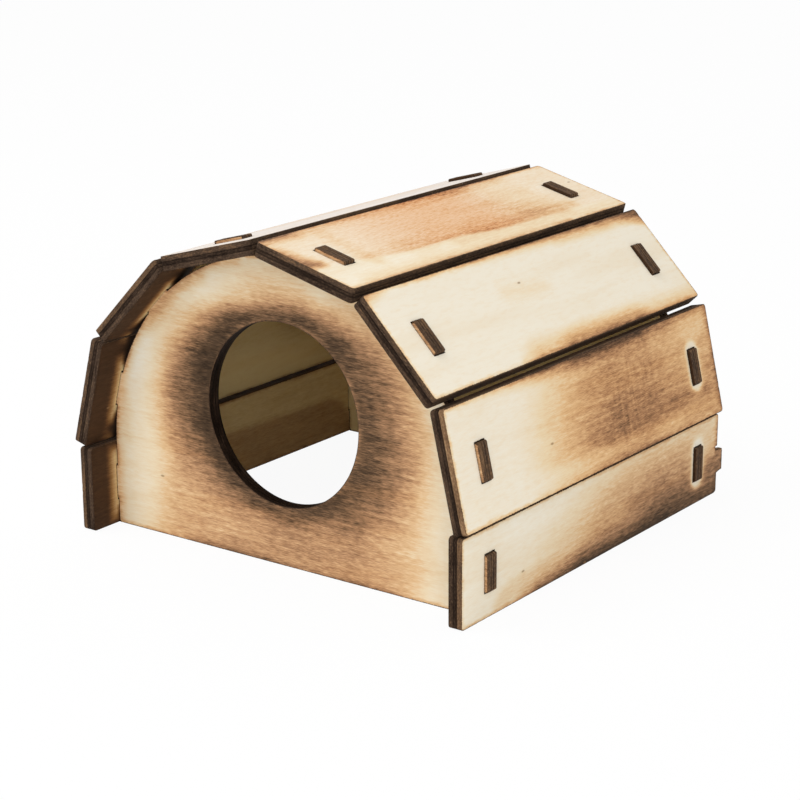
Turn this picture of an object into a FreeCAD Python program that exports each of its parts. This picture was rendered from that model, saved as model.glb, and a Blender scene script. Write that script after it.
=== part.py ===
import FreeCAD, Part
import math
import os
from collections import namedtuple
from FreeCAD import Vector

# A gerbil house cut from plywood board: eight planks lie around two upright
# end panels, and tabs on the panels' edges pass through slots in the planks.
# The floor is open. All sizes are in millimetres and all angles in degrees.
# +Z is up, the entrance faces -Y, and the origin is the centre of the base.

# Board
ply = 4.0

# Planks
plank_length = 130.0
plank_corner_radius = 1.0
skirt_height = 24.0
overhang = 10.1

# Arch that the roof planks lie around, measured to their inner faces
arch_radius = 60.0
plank_seam = 0.5
skirt_seam = 0.1
seat_gap = 0.08

# How far each roof plank has rocked on its tabs, from the lowest plank up to
# the ridge; a positive angle tips the plank nearer to upright
lean_right = {"lower": 1.9, "middle": 0.9, "upper": -0.4}
lean_left = {"lower": 0.0, "middle": 0.4, "upper": 0.2}

# Tabs and slots
tab_length = 10.0
tab_proud = 0.9
tab_tip_radius = 0.5
slot_clearance = 0.1

# Round entrance in the front panel
entrance_diameter = 50.0
entrance_sill = 16.7

# Stub of the outer ply left on the back end of the right skirt plank where it
# was cut loose, and the nick that the cut made in the plank's end above it
stub_reach = 3.1
stub_height = 7.2
stub_tip_height = 6.3
stub_sill = 5.9
stub_ply = 1.4
nick_depth = 1.0
nick_height = 1.1

# Sizes that follow from the ones above
quarter_turn = 90.0
station_pitch = quarter_turn / len(lean_right)
half_pitch = math.radians(station_pitch / 2)
plank_width = 2 * arch_radius * math.tan(half_pitch) - plank_seam / math.cos(half_pitch)
front_seat = overhang
back_seat = plank_length - overhang - ply
tab_root = tab_length / 2

# Each plank is modelled lying flat over the origin with its inner face down,
# its length along +Y and its upper edge towards -X. A seat tips it by its
# lean and carries it to the middle of its own stretch of the arch.
Seat = namedtuple("Seat", "x z lean width")


def station_angle(place):
    """Angle between the vertical and the line to a roof plank's station."""
    stations_up = list(lean_right).index(place)
    return quarter_turn - station_pitch * (stations_up + 1 / 2)


def lower_edge_rise(lean):
    """Height of the lowest roof plank's inner lower edge over the arch centre."""
    station = station_angle("lower")
    tipped = math.radians(station + lean)
    return arch_radius * math.cos(math.radians(station)) - plank_width / 2 * math.sin(tipped)


lowest_edge_rise = min(lower_edge_rise(lean_right["lower"]), lower_edge_rise(lean_left["lower"]))
arch_centre_height = skirt_height + skirt_seam - lowest_edge_rise


def roof_seat(side, place, lean):
    """Seat of a roof plank; side is 1 for the right and -1 for the left."""
    station = math.radians(station_angle(place))
    x = side * arch_radius * math.sin(station)
    z = arch_centre_height + arch_radius * math.cos(station)
    return Seat(x, z, side * (station_angle(place) + lean), plank_width)


def skirt_seat(side):
    """Seat of an upright skirt plank, whose lower edge stands on the ground."""
    return Seat(side * arch_radius, skirt_height / 2, side * quarter_turn, skirt_height)


def placed(shape, seat):
    """Carry a shape from the flat plank's frame to a seat on the arch."""
    moved = shape.copy()
    moved.rotate(Vector(0, 0, 0), Vector(0, 1, 0), seat.lean)
    moved.translate(Vector(seat.x, 0, seat.z))
    return moved


def block(x_min, x_max, y_min, y_max, z_min, z_max):
    """Rectangular block between two corners."""
    corner = Vector(x_min, y_min, z_min)
    return Part.makeBox(x_max - x_min, y_max - y_min, z_max - z_min, corner)


def flat_blank(width):
    """Plank with rounded corners, before its slots are cut."""
    blank = block(-width / 2, width / 2, 0, plank_length, 0, ply)
    upright_edges = []
    for edge in blank.Edges:
        first, last = (vertex.Point for vertex in edge.Vertexes)
        if abs(first.z - last.z) > ply / 2:
            upright_edges.append(edge)
    return blank.makeFillet(plank_corner_radius, upright_edges)


def flat_slot(panel_seat):
    """Cutter for the slot that takes one end panel's tab."""
    half_slot = tab_length / 2 + slot_clearance
    y_min = panel_seat - slot_clearance
    y_max = panel_seat + ply + slot_clearance
    return block(-half_slot, half_slot, y_min, y_max, -ply, 2 * ply)


def flat_tab(panel_seat):
    """Tab that stands through the plank, rooted inside the panel's edge."""
    tip = ply + tab_proud
    tab = block(-tab_length / 2, tab_length / 2, panel_seat, panel_seat + ply, -tab_root, tip)
    tip_corners = []
    for edge in tab.Edges:
        first, last = (vertex.Point for vertex in edge.Vertexes)
        if min(first.z, last.z) > ply and abs(first.y - last.y) > ply / 2:
            tip_corners.append(edge)
    return tab.makeFillet(tab_tip_radius, tip_corners)


def flat_stub():
    """Stub on a skirt plank's back end, a little narrower at its tip."""
    middle = skirt_height / 2 - stub_sill - stub_height / 2
    root_y = plank_length - plank_corner_radius
    tip_y = plank_length + stub_reach
    depth = ply - stub_ply
    corners = [
        Vector(middle - stub_height / 2, root_y, depth),
        Vector(middle + stub_height / 2, root_y, depth),
        Vector(middle + stub_height / 2, plank_length, depth),
        Vector(middle + stub_tip_height / 2, tip_y, depth),
        Vector(middle - stub_tip_height / 2, tip_y, depth),
        Vector(middle - stub_height / 2, plank_length, depth),
    ]
    outline = Part.makePolygon(corners + corners[:1])
    return Part.Face(outline).extrude(Vector(0, 0, stub_ply))


def flat_nick():
    """Cutter for the nick in the plank's back end just above the stub."""
    stub_top = skirt_height / 2 - stub_sill - stub_height
    y_min = plank_length - nick_depth
    return block(stub_top - nick_height, stub_top, y_min, plank_length + ply, -ply, 2 * ply)


def plank(seat, with_stub=False):
    """One plank on its seat, with a slot over each end panel."""
    flat = flat_blank(seat.width)
    if with_stub:
        flat = flat.fuse(flat_stub()).removeSplitter().cut(flat_nick())
    flat = flat.cut([flat_slot(front_seat), flat_slot(back_seat)])
    return placed(flat, seat)


def end_panel(panel_seat, seats, with_entrance):
    """Upright panel with an arched top and a tab at every plank."""
    reach = arch_radius - seat_gap
    foot_right = Vector(reach, panel_seat, 0)
    foot_left = Vector(-reach, panel_seat, 0)
    spring_right = Vector(reach, panel_seat, arch_centre_height)
    spring_left = Vector(-reach, panel_seat, arch_centre_height)
    crown = Vector(0, panel_seat, arch_centre_height + reach)
    outline = Part.Wire([
        Part.makeLine(foot_left, foot_right),
        Part.makeLine(foot_right, spring_right),
        Part.Arc(spring_right, crown, spring_left).toShape(),
        Part.makeLine(spring_left, foot_left),
    ])
    thickness = Vector(0, ply, 0)
    panel = Part.Face(outline).extrude(thickness)
    panel = panel.fuse([placed(flat_tab(panel_seat), seat) for seat in seats])
    if with_entrance:
        radius = entrance_diameter / 2
        centre = Vector(0, panel_seat, entrance_sill + radius)
        panel = panel.cut(Part.makeCylinder(radius, ply, centre, Vector(0, 1, 0)))
    return panel.removeSplitter()


def house():
    """All pieces by name, in the frame whose Y starts at the planks' front ends."""
    seats = {}
    for side_name, side, leans in (("right", 1, lean_right), ("left", -1, lean_left)):
        seats[side_name + "_skirt_plank"] = skirt_seat(side)
        for place, lean in leans.items():
            seats[side_name + "_" + place + "_plank"] = roof_seat(side, place, lean)
    pieces = {}
    for name, seat in seats.items():
        pieces[name] = plank(seat, with_stub=name == "right_skirt_plank")
    pieces["front_panel"] = end_panel(front_seat, seats.values(), with_entrance=True)
    pieces["back_panel"] = end_panel(back_seat, seats.values(), with_entrance=False)
    return pieces


def centred_on_base(pieces):
    """Carry every piece so that the origin is the centre of the whole base."""
    box = Part.makeCompound(list(pieces.values())).BoundBox
    for shape in pieces.values():
        shape.translate(Vector(-box.Center.x, -box.Center.y, 0))
    return pieces


os.makedirs("parts", exist_ok=True)
for node, solid in centred_on_base(house()).items():
    solid.exportStep("parts/" + node + ".step")
    print(node, len(solid.Solids), "solid", round(solid.Volume), "mm3")
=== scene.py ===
"""Looks of a small-pet house cut from plywood and scorched with a torch.

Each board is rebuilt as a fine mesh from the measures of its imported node: softened arrises, glue lines and a
slightly ragged char on the laser-cut edges, and per-point records of how much heat the face has taken. The
finishes read those records and add fibre, figure, pores and burn.
"""

import logging
import math
from dataclasses import dataclass
from enum import Enum
from typing import Any, Sequence

import bpy
import numpy as np
from mathutils import Matrix, Vector
from mathutils.geometry import delaunay_2d_cdt


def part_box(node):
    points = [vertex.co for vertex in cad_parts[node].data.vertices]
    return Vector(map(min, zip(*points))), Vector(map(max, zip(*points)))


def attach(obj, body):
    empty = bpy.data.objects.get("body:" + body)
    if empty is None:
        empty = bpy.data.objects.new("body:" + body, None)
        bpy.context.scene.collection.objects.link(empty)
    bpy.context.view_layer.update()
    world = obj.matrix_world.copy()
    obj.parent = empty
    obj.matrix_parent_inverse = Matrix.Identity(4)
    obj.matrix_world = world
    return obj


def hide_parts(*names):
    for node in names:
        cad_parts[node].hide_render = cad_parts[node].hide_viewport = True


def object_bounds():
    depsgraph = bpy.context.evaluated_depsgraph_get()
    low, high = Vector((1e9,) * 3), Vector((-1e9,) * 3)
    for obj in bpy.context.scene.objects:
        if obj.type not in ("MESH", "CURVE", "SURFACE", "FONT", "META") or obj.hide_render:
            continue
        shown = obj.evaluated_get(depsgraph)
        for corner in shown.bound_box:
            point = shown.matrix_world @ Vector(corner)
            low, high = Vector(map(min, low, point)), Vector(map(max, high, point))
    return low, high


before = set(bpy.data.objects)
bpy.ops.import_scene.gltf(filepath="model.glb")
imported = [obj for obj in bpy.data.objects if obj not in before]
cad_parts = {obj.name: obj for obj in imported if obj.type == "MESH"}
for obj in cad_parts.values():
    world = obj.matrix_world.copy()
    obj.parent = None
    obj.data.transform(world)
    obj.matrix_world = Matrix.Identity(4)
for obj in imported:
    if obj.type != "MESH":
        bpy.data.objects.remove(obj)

MM = 0.001
CAD_BOX = [list(corner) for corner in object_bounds()]

LOG = logging.getLogger("gerbil_house")

Point = tuple[float, float]
Size = tuple[float, float, float]
Socket = bpy.types.NodeSocket


# Curves and loops


def smooth_step(low: float, high: float, value: np.ndarray) -> np.ndarray:
    """Ease from 0 at low to 1 at high."""
    t = np.clip((value - low) / (high - low), 0, 1)
    return t * t * (3 - 2 * t)


def smooth_through(knots: np.ndarray, at: np.ndarray) -> np.ndarray:
    """Follow a smooth curve through knots.

    Args:
        knots: Rows of place and height, with rising places.
        at: Places at which the height is wanted.

    Returns:
        Height at each place, with no corner at the knots.
    """
    slopes = np.gradient(knots[:, 1], knots[:, 0])
    span = np.clip(np.searchsorted(knots[:, 0], at) - 1, 0, len(knots) - 2)
    start, stop = knots[span], knots[span + 1]
    width = stop[:, 0] - start[:, 0]
    t = np.clip((at - start[:, 0]) / width, 0, 1)
    rise = 3 * t**2 - 2 * t**3
    ease_out = t**3 - 2 * t**2 + t
    ease_in = t**3 - t**2
    sloped = (ease_out * slopes[span] + ease_in * slopes[span + 1]) * width
    return start[:, 1] * (1 - rise) + stop[:, 1] * rise + sloped


def distance_to_path(places: np.ndarray, path: np.ndarray, closed: bool = False) -> np.ndarray:
    """Measure how far each place lies from a path of straight runs.

    Args:
        places: Places as rows of two.
        path: Points of the path as rows of two.
        closed: Whether the last point joins the first.

    Returns:
        Least distance of each place from the path.
    """
    starts = path if closed else path[:-1]
    stops = np.roll(path, -1, axis=0) if closed else path[1:]
    nearest = np.full(len(places), np.inf)
    for start, stop in zip(starts, stops):
        run = stop - start
        t = np.clip((places - start) @ run / max(run @ run, np.finfo(float).tiny), 0, 1)
        nearest = np.minimum(nearest, np.hypot(*(places - start - t[:, None] * run).T))
    return nearest


def distance_to_loops(places: np.ndarray, loops: Sequence[np.ndarray]) -> np.ndarray:
    """Least distance of each place from any of some closed loops."""
    return np.min([distance_to_path(places, loop, closed=True) for loop in loops], axis=0)


def is_inside(places: np.ndarray, loop: np.ndarray) -> np.ndarray:
    """Tell which places lie inside a closed loop.

    Args:
        places: Places as rows of two.
        loop: Points of the loop as rows of two.

    Returns:
        True for each place inside.
    """
    inside = np.zeros(len(places), bool)
    for start, stop in zip(loop, np.roll(loop, -1, axis=0)):
        run, rise = stop - start
        if rise == 0:
            continue
        spans = (start[1] > places[:, 1]) != (stop[1] > places[:, 1])
        inside ^= spans & (places[:, 0] < start[0] + (places[:, 1] - start[1]) * run / rise)
    return inside


def is_on_face(places: np.ndarray, rims: Sequence[np.ndarray]) -> np.ndarray:
    """Tell which places lie inside the first rim and outside the others."""
    inside = [is_inside(places, rim) for rim in rims]
    return inside[0] & ~np.any(inside[1:], axis=0)


def arc(centre: Point, radius: float, start_deg: float, stop_deg: float, step: float) -> np.ndarray:
    """Points along a circular arc, both ends included.

    Args:
        centre: Centre of the circle.
        radius: Radius of the circle.
        start_deg: Angle of the first point, counter-clockwise from the first axis.
        stop_deg: Angle of the last point.
        step: Longest distance between two points.

    Returns:
        The points as rows of two.
    """
    sweep = math.radians(stop_deg - start_deg)
    count = max(2, math.ceil(abs(sweep) * radius / step)) + 1
    angles = math.radians(start_deg) + np.linspace(0, sweep, count)
    return np.column_stack((centre[0] + radius * np.cos(angles), centre[1] + radius * np.sin(angles)))


def inset(loop: np.ndarray, amount: np.ndarray) -> np.ndarray:
    """Move a loop's points into the board, square to its edges.

    Args:
        loop: Points as rows of two, with the board on the left of each run.
        amount: Distance to move each point by.

    Returns:
        The moved points.
    """
    ahead = np.roll(loop, -1, axis=0) - loop
    ahead /= np.hypot(*ahead.T)[:, None]
    behind = np.roll(ahead, 1, axis=0)
    left = np.column_stack((-ahead[:, 1] - behind[:, 1], ahead[:, 0] + behind[:, 0]))
    left /= np.hypot(*left.T)[:, None]
    half_turn_cosine = np.clip((-ahead[:, 1] * left[:, 0] + ahead[:, 0] * left[:, 1]), 0.5, 1)
    return loop + left * (amount / half_turn_cosine)[:, None]


def stepped(stretches: Sequence[np.ndarray], step: float) -> np.ndarray:
    """Join stretches into a closed loop with points no further apart than a step.

    Args:
        stretches: Points as rows of two, in order round the loop.
        step: Longest distance between two points.

    Returns:
        Points of the closed loop, without a repeated last point.
    """
    points = np.vstack(stretches)
    same_place = 0.001 * MM
    loop = []
    for start, stop in zip(points, np.roll(points, -1, axis=0)):
        length = math.dist(start, stop)
        if length < same_place:
            continue
        count = math.ceil(length / step)
        loop.extend(start + (stop - start) * i / count for i in range(count))
    return np.array(loop)


def rounded_rectangle(low: Point, high: Point, radius: float) -> list[np.ndarray]:
    """Stretches of a rectangle with rounded corners, counter-clockwise.

    Args:
        low: Lowest corner.
        high: Highest corner.
        radius: Radius of the corners.

    Returns:
        One stretch of points for each corner, from the lower right one.
    """
    corner_step = 0.4 * MM
    right, left = high[0] - radius, low[0] + radius
    bottom, top = low[1] + radius, high[1] - radius
    centres = ((right, bottom), (right, top), (left, top), (left, bottom))
    return [arc(c, radius, -90 + 90 * i, 90 * i, corner_step) for i, c in enumerate(centres)]


# Marks on a face, in board millimetres: along the board from its front end, and across it


@dataclass(frozen=True)
class TorchPass:
    """One pass of the torch, or with negative heat a place that the flame spared."""

    path: tuple[Point, ...]  # Points that the flame follows, in board millimetres
    reach: float  # Distance from the path at which half of the heat is left, in mm
    feather: float  # Distance over which the heat fades, in mm
    heat: float  # Heat at the path, from 0 for raw veneer to 1 for black char

    def laid_on(self, heat: np.ndarray, places: np.ndarray) -> np.ndarray:
        """Add this pass to the heat that a face has already taken.

        Args:
            heat: Heat at each place so far.
            places: Places on the board as rows of two, in mm.

        Returns:
            Heat at each place after the pass.
        """
        far = distance_to_path(places, np.array(self.path, float))
        fade = 1 - smooth_step(self.reach - self.feather, self.reach + self.feather, far)
        if self.heat < 0:
            return heat * (1 + self.heat * fade)
        return heat + (1 - heat) * self.heat * fade


def strokes(*rows: tuple[Point, Point, float, float, float]) -> tuple[TorchPass, ...]:
    """Straight passes, each given as its start, stop, reach, feather and heat."""
    return tuple(TorchPass((start, stop), *strength) for start, stop, *strength in rows)


def ring_path(centre: Point, radius: float, start_deg: float, stop_deg: float) -> tuple[Point, ...]:
    """Path of a torch that follows part of a circle, with the arguments of arc, in mm."""
    torch_step = 4.0
    return tuple(map(tuple, arc(centre, radius, start_deg, stop_deg, torch_step)))


@dataclass(frozen=True)
class Heartwood:
    """Band of pinkish heartwood on the upper side of a line that wanders along the veneer."""

    line: tuple[Point, ...]  # Points of the band's edge from the front end to the back, in board millimetres
    line_tone: float  # Heat-like tone of the thin rim along the edge
    sets_in: float  # Place along the board where the band begins to show, in mm
    dies_out: float  # Place along the board where it begins to fade, in mm
    fade: float = 0.6  # Half of the distance over which the band sets in across its edge, in mm
    along_fade: float = 26.0  # Distance over which it comes and goes along the board, in mm
    least_share: float = 0.2  # Share of its tint that shows all along

    def shares(self, places: np.ndarray) -> tuple[np.ndarray, np.ndarray]:
        """Tell how much of the band and of its rim shows.

        Args:
            places: Places on the board as rows of two, in mm.

        Returns:
            Share of the heartwood's tint at each place, and tone of the rim there.
        """
        along = places[:, 0]
        above = places[:, 1] - smooth_through(np.array(self.line, float), along)
        shown = smooth_step(self.sets_in - self.along_fade, self.sets_in + self.along_fade, along)
        shown *= 1 - smooth_step(self.dies_out, self.dies_out + self.along_fade, along)
        band = smooth_step(-self.fade, self.fade, above)
        rim = np.exp(-((above - self.fade) / (1.2 * self.fade)) ** 2)
        return band * (self.least_share + (1 - self.least_share) * shown), rim * self.line_tone * shown


# Colour and nodes


def linear(hex_colour: str) -> tuple[float, float, float, float]:
    """Turn an sRGB hex colour such as "#EFE6D2" into linear red, green, blue and an alpha of one."""
    channels = [int(hex_colour[i:i + 2], 16) / 255 for i in (1, 3, 5)]
    return (*(c / 12.92 if c <= 0.04045 else ((c + 0.055) / 1.055) ** 2.4 for c in channels), 1.0)


@dataclass(frozen=True)
class Grain:
    """A pattern in wood or soot."""

    size_mm: Size  # Size of one fleck along, across and through the board
    swing: float = 0.0  # How far the pattern moves the tone of what it lies in
    detail: float = 2.0  # How many finer layers of flecks it has
    roughness: float = 0.5  # How strong each finer layer is
    distortion: float = 0.0  # How far the flecks are bent
    shows: Point = (0.0, 1.0)  # Levels of the pattern between which it comes to show as a mark of its own


@dataclass(frozen=True)
class Surface:
    """How the surface of a finish takes the light."""

    relief_mm: float  # Depth of its relief
    relief_strength: float  # Strength of the relief, from 0 to 1
    roughness: float  # How matt it is, from 0 to 1
    ior: float  # Its index of refraction
    specular: float  # Strength of its gloss, where 0.5 is that of clear lacquer
    gloss_tint: str  # Colour of the gloss


class NodeDesk:
    """Shorthand for building one node tree."""

    def __init__(self, owner: bpy.types.Material | bpy.types.World) -> None:
        """Start on the owner's emptied node tree."""
        owner.use_nodes = True
        self.tree = owner.node_tree
        self.tree.nodes.clear()

    def add(self, kind: str, inputs: dict[str | int, Any] | None = None, **settings: Any) -> bpy.types.Node:
        """Add a shader node with its settings and links.

        Args:
            kind: Blender's name for the node without its prefix, such as "Math".
            inputs: For each input socket, a value, or an output socket to link from.
            **settings: Properties to set on the node before its inputs.

        Returns:
            The new node.
        """
        node = self.tree.nodes.new("ShaderNode" + kind)
        for name, value in settings.items():
            setattr(node, name, value)
        for name, value in (inputs or {}).items():
            if isinstance(value, Socket):
                self.tree.links.new(value, node.inputs[name])
            else:
                node.inputs[name].default_value = value
        return node

    def maths(self, operation: str, *values: Any, clamp: bool = False) -> Socket:
        """Result of a sum on sockets and numbers."""
        return self.add("Math", dict(enumerate(values)), operation=operation, use_clamp=clamp).outputs[0]

    def total(self, first: Any, *others: Any, clamp: bool = False) -> Socket:
        """All values added up, and the whole held between 0 and 1 if clamp is set."""
        for value in others[:-1]:
            first = self.maths("ADD", first, value)
        return self.maths("ADD", first, others[-1], clamp=clamp)

    def swing(self, value: Socket, amount: Any) -> Socket:
        """Noise moved to swing about nought, times an amount."""
        return self.maths("MULTIPLY", self.maths("SUBTRACT", value, 0.5), amount)

    def eased(self, value: Any, low: Any, high: Any, start: Any = 0.0, stop: Any = 1.0) -> Socket:
        """Value eased between two limits."""
        given = {"Value": value, "From Min": low, "From Max": high, "To Min": start, "To Max": stop}
        node = self.add("MapRange", given, interpolation_type="SMOOTHSTEP")
        return node.outputs[0]

    def record(self, name: str, output: str = "Fac") -> Socket:
        """Value of a per-point record."""
        return self.add("Attribute", attribute_name=name).outputs[output]

    def scaled(self, place: Socket, scale: Size) -> Socket:
        """Place multiplied by a scale along each axis."""
        given = {0: place, 1: scale}
        return self.add("VectorMath", given, operation="MULTIPLY").outputs[0]

    def flecks(self, place: Socket, grain: Grain) -> Socket:
        """Noise with a grain's flecks.

        Args:
            place: Place on the board, in metres.
            grain: The flecks' size and kind.

        Returns:
            The noise's value, about 0.5 on average.
        """
        given = {
            "Vector": self.scaled(place, tuple(1 / (size * MM) for size in grain.size_mm)), "Scale": 1.0,
            "Detail": grain.detail, "Roughness": grain.roughness, "Distortion": grain.distortion,
        }
        return self.add("TexNoise", given).outputs["Fac"]

    def tinted(self, colour: Any, amount: Any, tint: str, blend: str = "MULTIPLY") -> Socket:
        """Colour mixed with a tint by an amount."""
        given = {"Factor": amount, 6: colour, 7: linear(tint)}
        return self.add("Mix", given, data_type="RGBA", blend_type=blend).outputs[2]

    def ramp(self, value: Socket, tones: dict[float, str]) -> Socket:
        """Colour that runs through hex colours at places from 0 to 1."""
        node = self.add("ValToRGB", {"Fac": value})
        elements = node.color_ramp.elements
        elements[0].color, elements[1].color = linear(tones[0.0]), linear(tones[1.0])
        for place, tone in tones.items():
            if 0 < place < 1:
                elements.new(place).color = linear(tone)
        return node.outputs["Color"]

    def seen(self) -> Socket:
        """One for rays from the camera or a reflection, and nought for rays that only carry light."""
        path = self.add("LightPath").outputs
        mirrored = self.maths("MAXIMUM", path["Is Camera Ray"], path["Is Glossy Ray"])
        return self.maths("MAXIMUM", mirrored, path["Is Transmission Ray"])

    def finish(self, surface: Surface, colour: Socket, relief: Socket, roughness: Any) -> None:
        """Close the tree with a bumped surface.

        Args:
            surface: How the surface takes the light.
            colour: Its colour.
            relief: Height pattern of its relief.
            roughness: Its roughness at each place.
        """
        bump = self.add("Bump", {
            "Height": relief, "Strength": surface.relief_strength, "Distance": surface.relief_mm * MM,
        })
        shader = self.add("BsdfPrincipled", {
            "Base Color": colour, "Roughness": roughness, "IOR": surface.ior, "Normal": bump.outputs[0],
            "Specular IOR Level": surface.specular, "Specular Tint": linear(surface.gloss_tint),
        })
        self.add("OutputMaterial", {"Surface": shader.outputs[0]})


# Finishes


class Sheet(Enum):
    """Sheet of plywood that a board was cut from."""

    FRESH = "scorched_birch_veneer"
    GREYED = "greyed_birch_veneer"
    RUDDY = "ruddy_birch_veneer"


def burn_tones(*tones: str) -> dict[float, str]:
    """Tones of veneer from raw to charred, at the heat where each shows."""
    return dict(zip((0.0, 0.15, 0.30, 0.45, 0.60, 0.75, 0.87, 1.0), tones))


# The greyed sheet has lain in store, and the ruddy one singes to a warmer brown
SHEET_TONES = {
    Sheet.FRESH: burn_tones(
        "#F0E9D8", "#E9D6B5", "#DFBC90", "#CA9F75", "#A9805E", "#806147", "#574332", "#33271D",
    ),
    Sheet.GREYED: burn_tones(
        "#E3DBD4", "#DEC8AF", "#D6B490", "#C49B75", "#A47C5D", "#7C5F47", "#554232", "#33271D",
    ),
    Sheet.RUDDY: burn_tones(
        "#F2E9D6", "#EDD6AF", "#E5BC8A", "#CE9F70", "#AD7F59", "#846044", "#5A4230", "#34271C",
    ),
}

# Veneer of the inner faces, tinted olive and darker in its middle tones: painted shade for the dim light inside
# the cabin
CABIN_SHADE_TONES = burn_tones(
    "#F0E0B8", "#E8D19C", "#D4BB88", "#B29267", "#906C44", "#6A4B2F", "#483222", "#2C1F16",
)


@dataclass(frozen=True)
class ScorchedVeneer:
    """Birch-faced plywood, raw, singed with a gas torch.

    Raw birch veneer is matt and nearly white, with short fine fibres, a few specks and faint cutter marks
    across the grain. The flame turns it through straw and tan to a grey-brown char, and burns the softer
    early wood first, so the burn has a streaky edge. To the eye that gives a dry surface with streaks along
    the grain.
    """

    name: str
    tones: dict[float, str]
    # Birch fibres are about 0.03 mm wide. They are drawn seven times as wide, as fine as the render can show
    fibre: Grain = Grain((2.2, 0.22, 0.22), 0.8, 3.0, 0.6)
    streak: Grain = Grain((16.0, 0.95, 0.95), 0.44, 3.0, 0.55)
    blotch: Grain = Grain((12.0, 6.0, 6.0), 0.3, 3.0, 0.6, shows=(0.35, 0.6))
    mottle: Grain = Grain((3.6, 1.1, 1.1), 0.32, shows=(0.45, 0.75))
    chatter: Grain = Grain((1.3, 7.0, 7.0), 0.34)
    figure: Grain = Grain((60.0, 7.0, 7.0), distortion=0.4, shows=(0.45, 0.7))
    teeth: Grain = Grain((0.42, 0.42, 0.42), 0.45, 1.0)
    # How far the grain breaks up the burn: least in raw veneer, and most where the burn is half done
    break_up: float = 4.0
    broken_share: Point = (0.03, 0.52)
    half_done_heat: float = 0.9
    done_heat: float = 1.2
    heartwood_tint: str = "#F4D3BA"
    heartwood_fibre_swing: float = 1.15
    heartwood_streak_swing: float = 0.4
    figure_tint: str = "#F3E2C6"
    figure_share: float = 0.22
    mottle_share: float = 0.12
    # Straw-coloured halo that the laser leaves along the outline
    halo_mm: float = 1.5
    halo_heat: float = 0.3
    halo_wander_mm: float = -1.4
    halo_least: float = 0.4
    laser_line: str = "#2A1D15"
    laser_line_mm: Point = (0.144, 0.312)
    speck: str = "#8A6A48"
    speck_share: float = 0.7
    speck_spacing_mm: float = 30.0
    speck_edge_mm: Point = (0.12, 0.45)
    speck_stretch: float = 2.2
    chatter_relief: float = 0.3
    roughness_swing: float = 0.3
    surface: Surface = Surface(0.08, 0.3, 0.7, 1.47, 0.2, "#C9B294")

    def burnt(self, desk: NodeDesk, grains: dict[str, Socket]) -> Socket:
        """How far the veneer has burnt, from its records and the grain.

        Args:
            desk: Desk of the finish.
            grains: Noise of each grain, by the name of its field.

        Returns:
            Burn from 0 for raw veneer to 1 for black char.
        """
        maths, eased, swing = desk.maths, desk.eased, desk.swing
        heat = desk.record("scorch")
        share = eased(heat, 0.0, self.half_done_heat, *self.broken_share)
        half_done = maths("MULTIPLY", share, maths("SUBTRACT", self.done_heat, heat), clamp=True)
        everywhere = ("fibre", "streak", "blotch", "mottle")
        moves = [swing(grains[name], getattr(self, name).swing) for name in everywhere]
        cutter = maths("MULTIPLY", swing(grains["chatter"], self.chatter.swing), desk.record("cutter"))
        broken = maths("MULTIPLY", desk.total(*moves, cutter), maths("MULTIPLY", half_done, self.break_up))
        in_heartwood = desk.total(
            swing(grains["fibre"], self.heartwood_fibre_swing),
            swing(grains["streak"], self.heartwood_streak_swing),
        )
        off_mm = maths("DIVIDE", desk.record("outline"), MM)
        ragged = desk.total(off_mm, swing(grains["mottle"], self.halo_wander_mm))
        patchy = eased(grains["blotch"], *self.blotch.shows, self.halo_least, 1.0)
        halo = maths("MULTIPLY", eased(ragged, 0.0, self.halo_mm, self.halo_heat, 0.0), patchy)
        return desk.total(
            heat, broken, maths("MULTIPLY", in_heartwood, desk.record("heartwood")),
            maths("MULTIPLY", halo, maths("SUBTRACT", 1.0, heat)), clamp=True,
        )

    def specks(self, desk: NodeDesk, place: Socket) -> Socket:
        """Small dark specks, each a short dash along the grain.

        Args:
            desk: Desk of the finish.
            place: Place on the board, in metres.

        Returns:
            Share of the specks' colour at each place.
        """
        given = {
            "Vector": desk.scaled(place, (1 / self.speck_stretch, 1.0, 1.0)),
            "Scale": 1 / (self.speck_spacing_mm * MM),
        }
        cells = desk.add("TexVoronoi", given, voronoi_dimensions="2D")
        away_mm = desk.maths("MULTIPLY", cells.outputs["Distance"], self.speck_spacing_mm)
        return desk.eased(away_mm, *self.speck_edge_mm, self.speck_share, 0.0)

    def material(self) -> bpy.types.Material:
        """Build the finish's node material."""
        material = bpy.data.materials.new(self.name)
        desk = NodeDesk(material)
        eased, swing = desk.eased, desk.swing
        place = desk.record("board_place", "Vector")
        names = ("fibre", "streak", "figure", "blotch", "mottle", "chatter", "teeth")
        grains = {name: desk.flecks(place, getattr(self, name)) for name in names}
        colour = desk.ramp(self.burnt(desk, grains), self.tones)
        colour = desk.tinted(colour, desk.record("heartwood"), self.heartwood_tint)
        for name, share in (("figure", self.figure_share), ("mottle", self.mottle_share)):
            shown = eased(grains[name], *getattr(self, name).shows, 0.0, share)
            colour = desk.tinted(colour, shown, self.figure_tint)
        colour = desk.tinted(colour, self.specks(desk, place), self.speck, "MIX")
        rim_mm = desk.maths("DIVIDE", desk.record("rim"), MM)
        wobble = desk.total(rim_mm, swing(grains["teeth"], self.teeth.swing))
        line = eased(wobble, *self.laser_line_mm, 1.0, 0.0)
        colour = desk.tinted(colour, line, self.laser_line, "MIX")
        relief = desk.total(grains["fibre"], desk.maths("MULTIPLY", grains["chatter"], self.chatter_relief))
        roughness = desk.total(self.surface.roughness, swing(grains["fibre"], self.roughness_swing))
        desk.finish(self.surface, colour, relief, roughness)
        return material


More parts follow.
